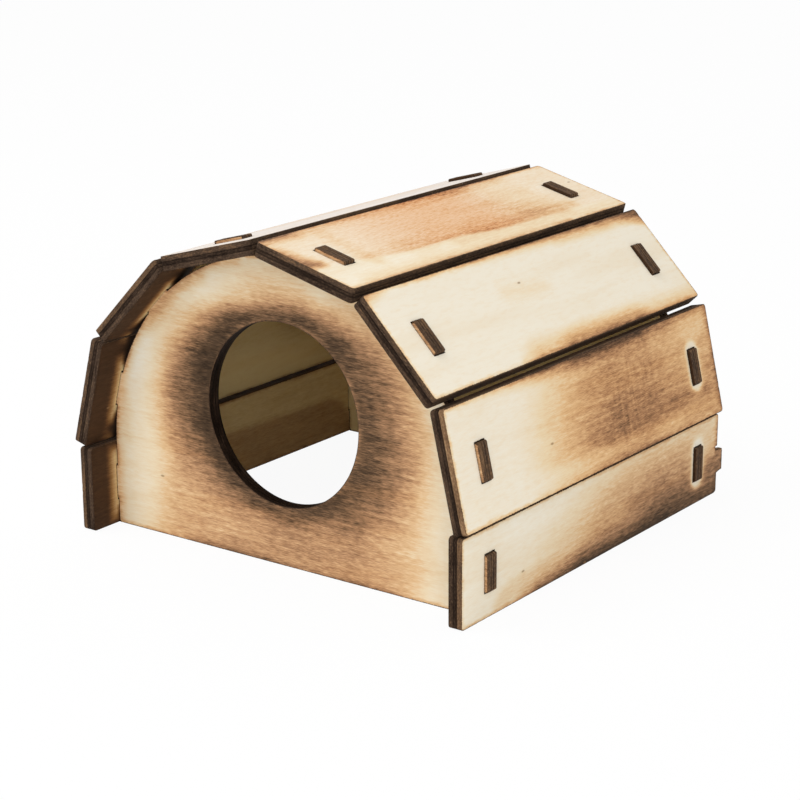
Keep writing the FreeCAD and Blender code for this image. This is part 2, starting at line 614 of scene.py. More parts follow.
@dataclass(frozen=True)
class CharredEdge:
    """Laser-cut edge of plywood, charred.

    The laser leaves a thin dry layer of soot over all the plies. Handling rubs it down to brown wood in streaks
    that run along the edge, most on the face plies and least in the core. To the eye the edge is a dark, matt
    brown band with fine lighter lines and two nearly black glue lines.
    """

    name: str = "charred_plywood_edge"
    rub_tones: tuple[str, ...] = ("#140E0A", "#2C211A", "#4D3D31", "#765A41", "#AE8D69")
    glue: str = "#120C08"
    glue_share: float = 0.5
    glue_edge_mm: Point = (0.08, 0.26)
    # Light specks on the char where the grit pattern peaks, most where it is rubbed: painted glints of light
    glint_speckle: str = "#8F7458"
    glint_speckle_share: float = 0.4
    glint_speckled_rub: Point = (0.3, 0.6)
    streak: Grain = Grain((6.0, 6.0, 0.34), 0.42, 3.0, 0.6)
    grit: Grain = Grain((0.7, 0.7, 0.28), 0.6, shows=(0.6, 0.74))
    patch: Grain = Grain((8.0, 8.0, 2.2), 0.5)
    grit_relief: float = 0.5
    surface: Surface = Surface(0.12, 0.45, 0.8, 1.5, 0.1, "#6E543C")

    def material(self, ply: float, glue_line: float) -> bpy.types.Material:
        """Build the finish's node material.

        Args:
            ply: Thickness of the board, in metres.
            glue_line: Depth of the glue line under each face, in metres.

        Returns:
            The material.
        """
        material = bpy.data.materials.new(self.name)
        desk = NodeDesk(material)
        maths, eased = desk.maths, desk.eased
        place = desk.record("board_place", "Vector")
        rubbed = desk.record("rubbed")
        streaks, grit, patches = (desk.flecks(place, grain) for grain in (self.streak, self.grit, self.patch))
        tone = desk.total(
            rubbed, desk.swing(streaks, self.streak.swing), desk.swing(grit, self.grit.swing),
            desk.swing(patches, self.patch.swing), clamp=True,
        )
        colour = desk.ramp(tone, dict(zip((0.0, 0.25, 0.5, 0.75, 1.0), self.rub_tones)))
        # Painted glints: light specks mixed into the char
        glint_specks = eased(grit, *self.grit.shows, 0.0, self.glint_speckle_share)
        glint_specks = maths("MULTIPLY", glint_specks, eased(rubbed, *self.glint_speckled_rub))
        colour = desk.tinted(colour, glint_specks, self.glint_speckle, "MIX")
        depth = desk.add("SeparateXYZ", {0: place}).outputs["Z"]
        from_middle = maths("ABSOLUTE", maths("SUBTRACT", depth, ply / 2))
        off_glue = maths("ABSOLUTE", maths("SUBTRACT", from_middle, ply / 2 - glue_line))
        glue = eased(maths("DIVIDE", off_glue, MM), *self.glue_edge_mm, self.glue_share, 0.0)
        colour = desk.tinted(colour, glue, self.glue, "MIX")
        relief = desk.total(streaks, maths("MULTIPLY", grit, self.grit_relief))
        desk.finish(self.surface, colour, relief, self.surface.roughness)
        return material


# Boards


class Face(Enum):
    """Face of a board."""

    OUTER = "outer"
    INNER = "inner"


@dataclass(frozen=True)
class Axes:
    """Frame of a board: where its own measures lie in the house."""

    origin: Vector  # Point at along 0, across 0, depth 0, on the outer face
    along: Vector  # Direction of the grain
    across: Vector  # Direction across the grain
    outward: Vector  # Normal of the outer face

    @property
    def basis(self) -> np.ndarray:
        """Directions of along, across and depth as rows."""
        return np.array([self.along, self.across, -self.outward])

    @property
    def mirrored(self) -> bool:
        """Whether along, across and outward form a left-handed set."""
        return self.along.cross(self.across).dot(self.outward) < 0

    def to_house(self, measures: np.ndarray) -> np.ndarray:
        """Carry rows of along, across and depth to places in the house."""
        return measures @ self.basis + np.array(self.origin)

    def to_board(self, places: np.ndarray) -> np.ndarray:
        """Carry places in the house to rows of along, across and depth."""
        return (places - np.array(self.origin)) @ self.basis.T


def node_points(node: str) -> np.ndarray:
    """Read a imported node's mesh.

    Args:
        node: Name of the node.

    Returns:
        Its corner points as rows of three, in metres.
    """
    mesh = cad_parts[node].data
    points = np.zeros(len(mesh.vertices) * 3, np.float32)
    mesh.vertices.foreach_get("co", points)
    return points.reshape(-1, 3).astype(float)


def broad_normal(node: str) -> Vector:
    """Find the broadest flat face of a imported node.

    Args:
        node: Name of the node.

    Returns:
        The face's normal, pointing away from the house's middle.
    """
    areas: dict[tuple[float, ...], float] = {}
    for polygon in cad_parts[node].data.polygons:
        key = tuple(round(value, 3) for value in polygon.normal)
        areas[key] = areas.get(key, 0.0) + polygon.area
    normal = Vector(max(areas, key=areas.get)).normalized()
    low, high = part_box(node)
    away = (low + high) / 2 - (Vector(CAD_BOX[0]) + Vector(CAD_BOX[1])) / 2
    return normal if normal.dot(away) > 0 else -normal


def proud_points(panel: str, axes: Axes) -> np.ndarray:
    """Points of a panel's tab that stand proud of a plank.

    Args:
        panel: Name of the panel's node.
        axes: Frame of the plank.

    Returns:
        Rows of along, across and depth on the plank.
    """
    points = axes.to_board(node_points(panel))
    half_reach = 8 * MM
    return points[(points[:, 2] < -0.1 * MM) & (np.abs(points[:, 1]) < half_reach)]


@dataclass
class Board:
    """A laser-cut board of three-ply plywood."""

    node: str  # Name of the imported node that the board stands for
    outer_marks: tuple[TorchPass, ...] = ()  # Burn marks on the outer face
    inner_marks: tuple[TorchPass, ...] = ()  # Burn marks on the inner face
    slot: str = ""  # Name for a material slot; not used
    sheet: Sheet = Sheet.FRESH  # Sheet that the board was cut from
    heartwood: Heartwood | None = None  # Band of heartwood on the outer face, if there is one
    # Where the veneer cutter's marks across the grain show, with heat as their strength
    cutter_marks: tuple[TorchPass, ...] = ()
    outer_ground: float = 0.0  # Heat that the whole outer face has taken
    inner_ground: float = 0.1  # Heat that the whole inner face has taken
    ply: float = 4.0 * MM  # Thickness of the board, in metres
    glue_line: float = 1.5 * MM  # Depth of the glue line under each face, in metres
    glue_groove: float = 0.06 * MM  # Depth to which the glue line is burnt out, in metres
    core_hollow: float = 0.03 * MM  # Depth to which the core is burnt out, in metres
    arris: float = 0.16 * MM  # How far the char has rounded the edge of a face, in metres
    char_wander: float = 0.018 * MM  # How far the charred edge wanders, in metres
    chip_share: float = 0.05  # Share of the edge's points that are chipped
    chip_mm: Point = (0.05, 0.16)  # Least and most depth of a chip, in mm
    end_rub: float = 0.5  # How far the char on the board's front end is rubbed down, from 0 to 1
    core_rub: float = 0.27  # Most that the core is rubbed
    inner_rub: float = 0.42  # Most that the inner ply is rubbed
    edge_step: float = 0.8 * MM  # Distance between points along an edge, in metres
    face_step: float = 0.9 * MM  # Distance between points on a face, in metres

    @property
    def number(self) -> int:
        """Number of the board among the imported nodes, from 1."""
        return sorted(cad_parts).index(self.node) + 1

    def axes(self) -> Axes:
        """Frame of the board in the house."""
        raise NotImplementedError

    def loops(self) -> list[np.ndarray]:
        """Closed outlines of the board: the outside one first, then each cut-out."""
        raise NotImplementedError

    def rub_at(self, measures: np.ndarray) -> np.ndarray:
        """Tell how far the char on the cut edges is rubbed down.

        Args:
            measures: Along, across and depth of each place, in metres.

        Returns:
            Rub from 0 for fresh soot to 1 for bare brown wood, at each place.
        """
        raise NotImplementedError

    def edge_profile(self) -> list[Point]:
        """Inset and depth of each ring of points down a cut edge, from the outer face to the inner."""
        corner = self.arris * (1 - math.sqrt(0.5))
        groove_half = 0.09 * MM
        upper = [
            (self.arris, 0.0),
            (corner, corner),
            (0.0, self.arris),
            (0.0, self.glue_line - groove_half),
            (self.glue_groove, self.glue_line),
            (0.0, self.glue_line + groove_half),
        ]
        lower = [(depth_in, self.ply - depth) for depth_in, depth in reversed(upper)]
        return upper + [(self.core_hollow, self.ply / 2)] + lower

    def loop_at(self, number: int, loop: np.ndarray, depth: float) -> np.ndarray:
        """Outline of the board at a depth, which is the same all through a plain board.

        Args:
            number: Which loop, 0 for the outside one.
            loop: The loop as it is on the outer face.
            depth: Depth under the outer face, in metres.

        Returns:
            As many points as the loop has.
        """
        return loop

    def heat_at(self, face: Face, places_mm: np.ndarray) -> np.ndarray:
        """Heat that a face has taken.

        Args:
            face: Which face.
            places_mm: Places on the board as rows of along and across, in mm.

        Returns:
            Heat from 0 to 1 at each place.
        """
        outer = face is Face.OUTER
        heat = np.full(len(places_mm), self.outer_ground if outer else self.inner_ground)
        for mark in self.outer_marks if outer else self.inner_marks:
            heat = mark.laid_on(heat, places_mm)
        if outer and self.heartwood:
            heat = heat + (1 - heat) * self.heartwood.shares(places_mm)[1]
        return np.clip(heat, 0, 1)

    def held_to_ply(self, rub: float, depth: np.ndarray) -> np.ndarray:
        """Rub that is held to what the ply at each depth, in metres, takes."""
        below = np.where(depth < self.ply - self.glue_line, self.core_rub, self.inner_rub)
        return np.where(depth < self.glue_line, rub, np.minimum(rub, below))

    def face_mesh(self, rims: list[np.ndarray]) -> tuple[np.ndarray, np.ndarray, list[np.ndarray]]:
        """Fill a face with triangles.

        Args:
            rims: Loops that bound the face, the outside one first.

        Returns:
            Points, triangles, and for each rim the numbers of its points.
        """
        corners = np.vstack(rims)
        low, high = corners.min(0), corners.max(0)
        counts = np.ceil((high - low) / self.face_step).astype(int)
        rows = [np.linspace(low[i], high[i], counts[i] + 1)[1:-1] for i in (0, 1)]
        grid = np.array(np.meshgrid(*rows)).reshape(2, -1).T
        least_gap = self.face_step * 0.45
        clear = is_on_face(grid, rims) & (distance_to_loops(grid, rims) > least_gap)
        points = np.vstack((corners, grid[clear]))
        firsts = np.cumsum([0] + [len(rim) for rim in rims[:-1]])
        numbers = [first + np.arange(len(rim)) for first, rim in zip(firsts, rims)]
        runs = [run for ring in numbers for run in zip(ring.tolist(), np.roll(ring, -1).tolist())]
        whole_hull, same_place = 0, 1e-6
        flat = [Vector(p) / MM for p in points.tolist()]
        made = delaunay_2d_cdt(flat, runs, [], whole_hull, same_place)
        points = np.array([tuple(v) for v in made[0]]) * MM
        triangles = np.array(made[2])
        return points, triangles[is_on_face(points[triangles].mean(axis=1), rims)], numbers

    def build(self) -> bpy.types.Object:
        """Build the board's mesh with its per-point records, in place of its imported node.

        Returns:
            The board as a new object.
        """
        rng = np.random.default_rng(self.number)
        axes = self.axes()
        loops = self.loops()
        profile = self.edge_profile()
        outer_finish, edge_finish, inner_finish = range(3)
        last = len(profile) - 1
        arris_rings = 2
        places: list[np.ndarray] = []
        faces: list[tuple[int, ...]] = []
        finishes: list[int] = []
        count = 0
        rings = [[np.empty(0, int)] * len(profile) for _ in loops]
        rims: dict[int, list[np.ndarray]] = {0: [], last: []}
        for number, loop in enumerate(loops):
            ragged = np.abs(rng.uniform(-1, 1, len(loop))) * self.char_wander
            chipped = rng.random(len(loop)) < self.chip_share
            chips = np.where(chipped, rng.uniform(*self.chip_mm, len(loop)) * MM, 0)
            for level, (depth_in, depth) in enumerate(profile):
                extra = ragged + (chips if level < arris_rings else 0)
                moved = inset(self.loop_at(number, loop, depth), depth_in + extra)
                if level in rims:
                    rims[level].append(moved)
                    continue
                places.append(np.column_stack((moved, np.full(len(moved), depth))))
                rings[number][level] = count + np.arange(len(moved))
                count += len(moved)
        for level, depth, finish in ((0, 0.0, outer_finish), (last, self.ply, inner_finish)):
            points, triangles, numbers = self.face_mesh(rims[level])
            for number, ring in enumerate(numbers):
                rings[number][level] = ring + count
            turned = (finish == inner_finish) != axes.mirrored
            faces += map(tuple, (triangles[:, [0, 2, 1] if turned else [0, 1, 2]] + count).tolist())
            finishes += [finish] * len(triangles)
            places.append(np.column_stack((points, np.full(len(points), depth))))
            count += len(points)
        for levels in rings:
            for upper, lower in zip(levels, levels[1:]):
                quads = np.column_stack((upper, lower, np.roll(lower, -1), np.roll(upper, -1)))
                faces += map(tuple, (quads[:, ::-1] if axes.mirrored else quads).tolist())
                finishes += [edge_finish] * len(quads)
        measures = np.vstack(places)
        mesh = bpy.data.meshes.new(self.node + "_board")
        mesh.from_pydata(axes.to_house(measures).tolist(), [], faces)
        mesh.polygons.foreach_set("material_index", finishes)
        self.keep_records(mesh, measures, loops)
        mesh.shade_smooth()
        sharp_deg = 38
        mesh.set_sharp_from_angle(angle=math.radians(sharp_deg))
        mesh.update()
        board = bpy.data.objects.new(self.node + "_board", mesh)
        bpy.context.scene.collection.objects.link(board)
        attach(board, "root")
        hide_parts(self.node)
        return board

    def keep_records(self, mesh: bpy.types.Mesh, measures: np.ndarray, loops: list[np.ndarray]) -> None:
        """Store on each point its place on the board, its heat and its distance from a cut.

        Args:
            mesh: Mesh that takes the records.
            measures: Along, across and depth of each point, in metres.
            loops: Closed outlines of the board.
        """
        flat = measures[:, :2]
        near_outer = measures[:, 2] < self.ply / 2
        cutter = np.zeros(len(flat))
        for mark in self.cutter_marks:
            cutter = mark.laid_on(cutter, flat / MM)
        records = {
            "scorch": np.where(near_outer, *(self.heat_at(face, flat / MM) for face in Face)),
            "rim": distance_to_loops(flat, loops),
            "outline": distance_to_loops(flat, loops[:1]),
            "heartwood": near_outer * (self.heartwood.shares(flat / MM)[0] if self.heartwood else 0.0),
            "cutter": cutter,
            "rubbed": self.rub_at(measures),
        }
        for name, values in records.items():
            record = mesh.attributes.new(name, "FLOAT", "POINT")
            record.data.foreach_set("value", np.ascontiguousarray(values, np.float32))
        # Each board takes its grain from a place of its own in the patterns
        shift = 0.37 * self.number
        grain_place = measures + np.array([shift, shift, 0.0])
        record = mesh.attributes.new("board_place", "FLOAT_VECTOR", "POINT")
        record.data.foreach_set("vector", np.ascontiguousarray(grain_place.ravel(), np.float32))

    def dress(
        self,
        board: bpy.types.Object,
        veneers: dict[Sheet, bpy.types.Material],
        *others: bpy.types.Material,
    ) -> None:
        """Give the board its sheet's veneer, then the finishes of its cut edges and of its inner face."""
        for finish in (veneers[self.sheet], *others):
            board.data.materials.append(finish)


@dataclass(frozen=True)
class Stub:
    """Stub of the outer ply left on a plank's back end."""

    reach: float = 3.1 * MM  # How far it stands out of the end, in metres
    sill: float = 5.9 * MM  # Height of its lower edge over the plank's, in metres
    height: float = 7.2 * MM  # Height at its root, in metres
    tip_height: float = 6.3 * MM  # Height at its tip, in metres
    ply: float = 1.4 * MM  # Thickness, in metres
    nick_depth: float = 1.0 * MM  # Depth of the nick above it in the plank's end, in metres
    nick_height: float = 1.1 * MM  # Height of the nick, in metres

    def outline(self, end: float, lower_edge: float) -> np.ndarray:
        """Corner points of the stub and its nick, going up the plank's end.

        Args:
            end: Place of the plank's end along the board.
            lower_edge: Place of the plank's lower edge across the board.

        Returns:
            The points as rows of two.
        """
        low = lower_edge + self.sill
        top = low + self.height
        shoulder = (self.height - self.tip_height) / 2
        return np.array([
            (end, low),
            (end + self.reach, low + shoulder),
            (end + self.reach, top - shoulder),
            (end, top),
            (end - self.nick_depth, top),
            (end - self.nick_depth, top + self.nick_height),
            (end, top + self.nick_height),
        ])


@dataclass
class Plank(Board):
    """A plank that lies along the house, with a slot over each end panel."""

    slot: str = "plank_ply"
    slot_clearance: float = 0.1 * MM  # Gap between a tab and its slot all round, in metres
    side_rub: float = 0.5  # How far the char on the long edges is rubbed down, from 0 to 1
    slot_rub: float = 0.08  # How far the char in the slots is rubbed down, from 0 to 1
    stub: Stub | None = None  # Stub on the back end, if the plank has one

    @property
    def stub_reach(self) -> float:
        """How far the stub stands out of the back end, or nought for a plain plank."""
        return self.stub.reach if self.stub else 0.0

    def axes(self) -> Axes:
        """Frame of the plank, from its front end, the middle of its width and its outer face."""
        outward = broad_normal(self.node)
        along = Vector((0, 1, 0))
        across = outward.cross(along)
        if across.z < 0:
            across.negate()
        points = node_points(self.node)
        heights = points @ np.array(across)
        middle = float(heights.min() + heights.max()) / 2
        top_depth = float((points @ np.array(outward)).max())
        origin = along * points[:, 1].min() + across * middle + outward * top_depth
        return Axes(origin, along, across, outward)

    def loops(self) -> list[np.ndarray]:
        """Outline of the plank with its corners and stub, then its two slots."""
        axes = self.axes()
        points = axes.to_board(node_points(self.node))
        top = points[:, 1].max()
        length = points[:, 0].max() - self.stub_reach
        on_lower_edge = points[points[:, 1] < points[:, 1].min() + 0.01 * MM]
        outline = rounded_rectangle((0.0, -top), (length, top), on_lower_edge[:, 0].min())
        if self.stub:
            outline.insert(1, self.stub.outline(length, -top))
        loops = [stepped(outline, self.edge_step)]
        for panel in ("front_panel", "back_panel"):
            tab = proud_points(panel, axes)[:, :2]
            low, high = tab.min(0) - self.slot_clearance, tab.max(0) + self.slot_clearance
            corners = np.array([low, (low[0], high[1]), high, (high[0], low[1])])
            loops.append(stepped([corners], self.edge_step))
        return loops

    def loop_at(self, number: int, loop: np.ndarray, depth: float) -> np.ndarray:
        """Outline without the stub, below the ply that the stub is part of."""
        if number or not self.stub or depth <= self.stub.ply:
            return loop
        end = loop[:, 0].max() - self.stub.reach
        on_stub = np.flatnonzero(loop[:, 0] > end + 0.01 * MM)
        flush = loop.copy()
        before, after = loop[on_stub[0] - 1], loop[on_stub[-1] + 1]
        flush[on_stub] = np.linspace(before, after, len(on_stub) + 2)[1:-1]
        return flush

    def edge_profile(self) -> list[Point]:
        """Rings down a cut edge, with two more at the stub's underside."""
        profile = super().edge_profile()
        if self.stub:
            profile += [(0.0, self.stub.ply), (0.0, self.stub.ply + 0.01 * MM)]
        return sorted(profile, key=lambda level: level[1])

    def rub_at(self, measures: np.ndarray) -> np.ndarray:
        """Rub of the cut edges: most on the front end and the stub, and least in the slots."""
        along, across = measures[:, 0], np.abs(measures[:, 1])
        near = 0.7 * MM
        end = along.max() - self.stub_reach
        nick = self.stub.nick_depth if self.stub else 0.0
        in_slot = (along > near) & (along < end - nick - near) & (across < across.max() - near)
        at_end = (along < near) | (along > end + near)
        end_rub = self.held_to_ply(self.end_rub, measures[:, 2])
        return np.where(in_slot, self.slot_rub, np.where(at_end, end_rub, self.side_rub))


@dataclass
class EndPanel(Board):
    """An arched end panel with a tab at every plank."""

    slot: str = "end_panel_ply"
    planks: tuple[Plank, ...] = ()  # The planks that its tabs pass through
    has_entrance: bool = False  # Whether the round entrance is cut in it
    side_rub: float = 0.46  # How far the char on the outline is rubbed down, from 0 to 1
    tab_rub: float = 0.56  # How far the char on the tabs' ends is rubbed down, from 0 to 1
    wall_rub: float = 0.17  # How far the char on the entrance's wall is rubbed down, from 0 to 1
    arris_rub: float = 0.5  # How far the char on the entrance's outer arris is rubbed down, from 0 to 1
    tab_heat: float = 0.42  # Heat that the proud part of the tabs' outer faces has taken
    tab_inner_heat: float = 0.93  # Heat that the proud part of the tabs' inner faces has taken

    def axes(self) -> Axes:
        """Frame of the panel: along to the house's right, across upwards, depth from its outer face."""
        outward = broad_normal(self.node)
        foot = self.foot()[:, 0]
        middle = float(foot.min() + foot.max()) / 2
        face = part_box(self.node)[1 if outward.y > 0 else 0].y
        return Axes(Vector((middle, face, 0.0)), Vector((1, 0, 0)), Vector((0, 0, 1)), outward)

    def foot(self) -> np.ndarray:
        """Points of the panel's straight lower edge."""
        points = node_points(self.node)
        return points[points[:, 2] < 0.01 * MM]

    def arch(self) -> Point:
        """Radius of the arch, and the height at which it begins, in metres."""
        axes = self.axes()
        points = axes.to_board(node_points(self.node))[:, :2]
        reach = axes.to_board(self.foot())[:, 0].max()
        near_middle = 3 * MM
        crown = points[np.abs(points[:, 0]) < near_middle]
        crown = crown[np.argmax(crown[:, 1])]
        return reach, crown[1] - math.sqrt(reach**2 - crown[0] ** 2)

    def loops(self) -> list[np.ndarray]:
        """Outline of the arch with its tabs, counter-clockwise, then the entrance."""
        axes = self.axes()
        reach, spring = self.arch()
        tabs = [self.tab(plank, axes, reach, spring) for plank in self.planks]
        outline = [np.array([(-reach, 0.0), (reach, 0.0)])]
        angle_now = 0.0
        for start_at, corners, stop_at in sorted(tabs, key=lambda tab: tab[0]):
            start_at = min(start_at, 180.0)
            if start_at > angle_now:
                outline.append(arc((0.0, spring), reach, angle_now, start_at, self.edge_step))
            outline.append(corners)
            angle_now = max(stop_at, 0.0)
        loops = [stepped(outline, self.edge_step)]
        if self.has_entrance:
            points = axes.to_board(node_points(self.node))[:, :2]
            rim = points[self.in_entrance(points)]
            centre = (rim.min(0) + rim.max(0)) / 2
            loops.append(arc(tuple(centre), np.ptp(rim[:, 0]) / 2, 360, 0, self.edge_step)[:-1])
        return loops

    def tab(self, plank: Plank, axes: Axes, reach: float, spring: float) -> tuple[float, np.ndarray, float]:
        """Corners of the tab that passes through a plank.

        Args:
            plank: The plank.
            axes: Frame of the panel.
            reach: Radius of the arch.
            spring: Height at which the arch begins.

        Returns:
            Angle on the arch where the tab begins, its outline counter-clockwise, and the angle where it ends.
            An angle below 0 or above 180 degrees is on a straight side.
        """
        plank_axes = plank.axes()
        proud = proud_points(self.node, plank_axes)
        low, high, tip = proud[:, 1].min(), proud[:, 1].max(), proud[:, 2].min()
        radius = proud[proud[:, 1] < low + 0.01 * MM][:, 2].min() - tip
        tip_step = 0.2 * MM
        flat_corners = np.vstack((
            (low, plank.ply),
            arc((low + radius, tip + radius), radius, 180, 270, tip_step),
            arc((high - radius, tip + radius), radius, 270, 360, tip_step),
            (high, plank.ply),
        ))
        corners = axes.to_board(plank_axes.to_house(np.insert(flat_corners, 0, 0.0, axis=1)))[:, :2]
        if plank_axes.outward.x <= 0:
            corners = corners[::-1]
        corners[[0, -1]] = [self.on_edge(*corners[pair], reach, spring) for pair in ([0, 1], [-1, -2])]
        angles = [math.degrees(math.atan2(p[1] - spring, p[0])) for p in corners[[0, -1]]]
        start_at, stop_at = (a + 360 if a < -90 else a for a in angles)
        return start_at, corners, stop_at

    def on_tab(self, flat: np.ndarray) -> np.ndarray:
        """Tell which places, as rows of along and across in metres, stand proud of the planks."""
        reach, spring = self.arch()
        from_arch = np.hypot(flat[:, 0], np.maximum(flat[:, 1] - spring, 0))
        return from_arch > reach + self.ply / 4

    def in_entrance(self, flat: np.ndarray) -> np.ndarray:
        """Tell which places on a cut edge, as rows of along and across in metres, are the entrance's."""
        reach, spring = self.arch()
        farthest = 0.8 * reach
        return (np.hypot(flat[:, 0], flat[:, 1] - spring) < farthest) & (flat[:, 1] > 1 * MM)

    def heat_at(self, face: Face, places_mm: np.ndarray) -> np.ndarray:
        """Heat that a face has taken, and the tabs' own heat where they stand proud."""
        tab_heat = self.tab_heat if face is Face.OUTER else self.tab_inner_heat
        return np.where(self.on_tab(places_mm * MM), tab_heat, super().heat_at(face, places_mm))

    def rub_at(self, measures: np.ndarray) -> np.ndarray:
        """Rub of the cut edges: most on the tabs' ends, and in the entrance only on its outer arris."""
        flat, depth = measures[:, :2], measures[:, 2]
        rub = np.where(self.on_tab(flat), self.tab_rub, self.held_to_ply(self.side_rub, depth))
        wall_rub = np.where(depth < self.arris * 0.9, self.arris_rub, self.wall_rub)
        return np.where(self.in_entrance(flat), wall_rub, rub)

    @staticmethod
    def on_edge(root: np.ndarray, tip: np.ndarray, reach: float, spring: float) -> np.ndarray:
        """Find where the line from a tab's tip to its root meets the panel's edge.

        Args:
            root: Point near the tab's root.
            tip: Next point towards the tab's tip.
            reach: Radius of the arch.
            spring: Height at which the arch begins.

        Returns:
            Place on the edge as along and across.
        """
        run = (root - tip) / math.dist(root, tip)
        if tip[1] < spring:
            side = math.copysign(reach, tip[0])
            return tip + run * (side - tip[0]) / run[0]
        offset = tip - np.array([0.0, spring])
        half = offset @ run
        return tip - run * (half + math.sqrt(half**2 - (offset @ offset - reach**2)))


# Stage


@dataclass(frozen=True)
class SoftBox:
    """Square soft box that points at the house."""

    name: str  # Name of the lamp
    place: Size  # Where it hangs, in metres
    size: float  # Its width, in metres
    power: float  # Its power, in watts
    aim: float = 0.04  # Height of the point that it points at, in metres

    def build(self) -> None:
        """Hang the lamp."""
        lamp = bpy.data.lights.new(self.name, "AREA")
        lamp.shape = "SQUARE"
        lamp.size = self.size
        lamp.energy = self.power
        holder = bpy.data.objects.new(self.name, lamp)
        holder.location = self.place
        holder.rotation_mode = "QUATERNION"
        holder.rotation_quaternion = (Vector((0, 0, self.aim)) - Vector(self.place)).to_track_quat("-Z", "Y")
        bpy.context.scene.collection.objects.link(holder)


@dataclass(frozen=True)
class Studio:
    """Plain pale sweep with soft, even light."""

    ambient: float = 0.71  # Strength of the even light from all round
    key: SoftBox = SoftBox("key_softbox", (-0.45, -0.35, 0.85), 0.7, 4.4)  # Soft box above and to the left
    # Soft box in front and to the right, which lights the cabin too
    fill: SoftBox = SoftBox("fill_softbox", (0.5, -0.7, 0.3), 0.6, 2.15)
    floor_size: float = 6.0  # Width of the floor, in metres
    shadow_share: float = 0.06  # How much of the floor's own shading the camera sees, from 0 to 1

    def build(self) -> None:
        """Build the world, the floor and the lamps."""
        self.light_world()
        self.lay_floor()
        self.key.build()
        self.fill.build()

    def light_world(self) -> None:
        """Even white light, with a pure white background for the camera and for reflections."""
        world = bpy.data.worlds.new("studio_world")
        bpy.context.scene.world = world
        desk = NodeDesk(world)
        shares = {"Factor": desk.seen(), 2: self.ambient, 3: 1.0}
        strength = desk.add("Mix", shares, data_type="FLOAT").outputs[0]
        light = {"Color": linear("#FFFFFF"), "Strength": strength}
        background = desk.add("Background", light)
        desk.add("OutputWorld", {"Surface": background.outputs[0]})

    def lay_floor(self) -> None:
        """Lay a white floor that shows the camera a faint shadow."""
        half = self.floor_size / 2
        mesh = bpy.data.meshes.new("studio_floor")
        corners = [(-half, -half, 0), (half, -half, 0), (half, half, 0), (-half, half, 0)]
        mesh.from_pydata(corners, [], [(0, 1, 2, 3)])
        floor = bpy.data.objects.new("studio_floor", mesh)
        bpy.context.scene.collection.objects.link(floor)
        material = bpy.data.materials.new("white_paper_sweep")
        desk = NodeDesk(material)
        paper = desk.add("BsdfDiffuse", {"Color": linear("#F4F4F4")}).outputs[0]
        white = {"Color": linear("#FFFFFF"), "Strength": 1.0}
        glow = desk.add("Emission", white).outputs[0]
        share = desk.maths("MULTIPLY", desk.seen(), 1 - self.shadow_share)
        mixed = desk.add("MixShader", {0: share, 1: paper, 2: glow})
        desk.add("OutputMaterial", {"Surface": mixed.outputs[0]})
        mesh.materials.append(material)


@dataclass(frozen=True)
class View:
    """The photograph's view of the house."""

    azimuth_deg: float = 36.405  # Turn of the view round the house; 0 looks along +Y
    elevation_deg: float = 16.456  # Height of the view above the horizon
    roll_deg: float = -0.313  # Turn of the picture about the view
    distance_mm: float = 613.2  # Distance of the lens from the point that it looks at
    # How far that point lies to the right of the frame's origin, in the picture's plane
    aside_mm: float = -2.708
    above_mm: float = 30.958  # How far that point lies above the frame's origin, in the picture's plane
    lens_mm: float = 96.519  # Focal length
    sensor_mm: float = 36.0  # Width of the sensor

    def build(self) -> None:
        """Set up the scene's camera."""
        turns = ((self.azimuth_deg, "Z"), (90 - self.elevation_deg, "X"), (self.roll_deg, "Z"))
        azimuth, rise, roll = (Matrix.Rotation(math.radians(angle), 3, axis) for angle, axis in turns)
        turn = azimuth @ rise @ roll
        data = bpy.data.cameras.new("view")
        data.lens = self.lens_mm
        data.sensor_width = self.sensor_mm
        camera = bpy.data.objects.new("view", data)
        camera.location = turn @ Vector((self.aside_mm, self.above_mm, self.distance_mm)) * MM
        camera.rotation_mode = "QUATERNION"
        camera.rotation_quaternion = turn.to_quaternion()
        bpy.context.scene.collection.objects.link(camera)
        bpy.context.scene.camera = camera


# Burn marks of the boards that the photograph shows from outside

RIGHT_UPPER_BURNS = strokes(
    ((36.6, -5.6), (97, -4.6), 4.4, 3.1, 0.08),
    ((63, -5.9), (112, -8), 2.2, 1.6, 0.13),
    ((-0.5, 9), (1.5, 0.5), 2.4, 3.6, 0.44),
    ((1.5, -0.8), (4.5, -1.6), 1.8, 1.4, 0.4),
    ((0, 16), (13, 15.5), 2, 4, 0.55),
    ((21, -7), (21, 12), 1.6, 3.6, 0.13),
    ((96, 9), (106, 5), 2, 4.5, 0.12),
    ((88, 3), (104, -4.5), 5, 6, 0.12),
    ((10, -14.5), (131, -14.5), 2.6, 3.2, 0.12),
    ((60, 16.2), (131, 16.2), 0.6, 1.3, 0.6),
    ((80, 16.5), (106, 16.5), 2, 4, 0.24),
    ((91, -5), (104, -9.5), 2, 3.5, 0.16),
    ((19, -4), (50, -5), 1.4, 3, 0.1),
    ((62, 13), (104, 13), 1, 5, 0.12),
    ((54, -9.5), (96, -9.5), 1.6, 3.5, 0.13),
    ((1.8, 23), (85, 21.4), 5.3, 6.6, 0.8),
    ((0, -22), (96, -21.1), 7.6, 1.6, 0.1),
)

RIGHT_MIDDLE_BURNS = strokes(
    ((49.5, -22.8), (127.2, -24), 4.9, 11, 1),
    ((64.4, -24), (96.5, -23.9), 7.6, 7.5, 1),
    ((-6, 14.9), (10.1, 19.2), 1.2, 4.4, 0.86),
    ((117, 18.5), (131, 13.6), 2.4, 3.6, 0.75),
    ((86, 14.4), (112, 14.4), 1, 3.6, 0.16),
    ((51.2, 4.3), (68.1, 2.5), 1.7, 3.8, 0.11),
    ((17, 21.6), (138.1, 17.4), 2.8, 5.1, 0.93),
    ((40, 16.4), (131, 16.2), 0.7, 1.4, 0.7),
)

